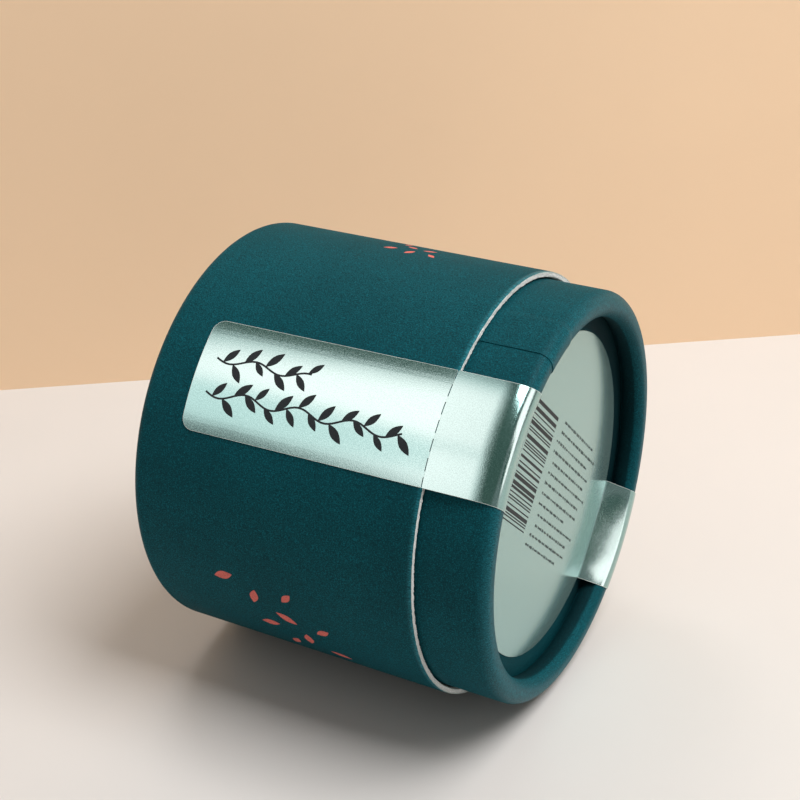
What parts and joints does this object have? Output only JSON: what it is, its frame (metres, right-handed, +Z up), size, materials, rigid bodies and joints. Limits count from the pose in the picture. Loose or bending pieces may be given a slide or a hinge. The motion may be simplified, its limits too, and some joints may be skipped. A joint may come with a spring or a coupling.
{
  "type": "round paper tube box",
  "caption": "Round paper tube box lying on its side: a long cover slides off a base with a rolled rim and recessed end, closed by a perforated foil seal.",
  "frame": {"origin": "under the middle of the closed tube, on the surface that it lies on", "axes": "+X along the tube's axis from the cover to the base's closed end, +Z up, -Y towards the side that the seal faces"},
  "size_m": [0.0792, 0.09, 0.0899],
  "materials": {
    "wrap": "uncoated matte teal wrap paper with a fine grain",
    "board": "off-white wound paperboard, raw at the cut edges",
    "liner": "off-white lining paper",
    "foil": "satin mint metallised label stock"
  },
  "bodies": {
    "base": {"base_board_tube": "board", "base_wrap": "wrap", "base_liner": "liner", "base_end_disc": "board", "base_end_facing": "wrap", "base_end_lining": "liner", "seal_end_label": "foil"},
    "cover": {"cover_board_tube": "board", "cover_wrap": "wrap", "cover_liner": "liner", "cover_end_disc": "board", "cover_end_facing": "wrap", "cover_end_lining": "liner", "seal_panel": "foil"}
  },
  "joints": [
    {"name": "cover_slide", "type": "slide", "parent": "base", "child": "cover", "axis": [-1, 0, 0], "range_m": [0, 0.07]}
  ]
}
